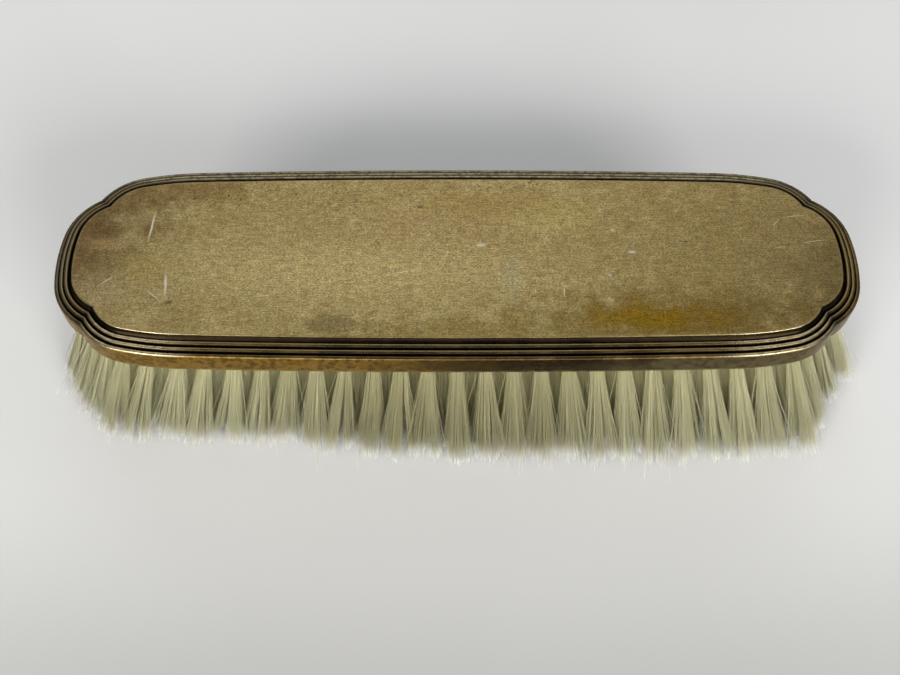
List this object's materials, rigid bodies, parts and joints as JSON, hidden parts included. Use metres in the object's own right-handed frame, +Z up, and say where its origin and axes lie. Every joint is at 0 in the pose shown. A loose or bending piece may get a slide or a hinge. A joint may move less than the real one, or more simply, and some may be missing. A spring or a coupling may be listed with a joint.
{
  "type": "vanity hairbrush",
  "caption": "Handleless vanity hairbrush: flat stamped silver back with a reeded, notched border over a bored wooden board drawn with rows of splayed natural bristle tufts.",
  "frame": {"origin": "on the surface the bristle tips stand on, under the centre of the brush", "axes": "+X along the brush, +Y across it, +Z up through the flat metal back"},
  "size_m": [0.1718, 0.0512, 0.04],
  "materials": {
    "silver": "satin, tarnished",
    "pitch": "matt",
    "former_wood": "unfinished",
    "board_wood": "oiled",
    "bristle": "natural",
    "wire": "drawn"
  },
  "bodies": {
    "root": {"back_shell": "silver", "pitch_fill": "pitch", "wood_former": "former_wood", "tuft_board": "board_wood", "row_1_tufts": "bristle", "row_2_tufts": "bristle", "row_3_tufts": "bristle", "row_4_tufts": "bristle", "row_5_tufts": "bristle", "row_6_tufts": "bristle", "row_7_tufts": "bristle", "row_8_tufts": "bristle", "row_9_tufts": "bristle", "row_1_wire": "wire", "row_2_wire": "wire", "row_3_wire": "wire", "row_4_wire": "wire", "row_5_wire": "wire", "row_6_wire": "wire", "row_7_wire": "wire", "row_8_wire": "wire", "row_9_wire": "wire"}
  },
  "joints": []
}
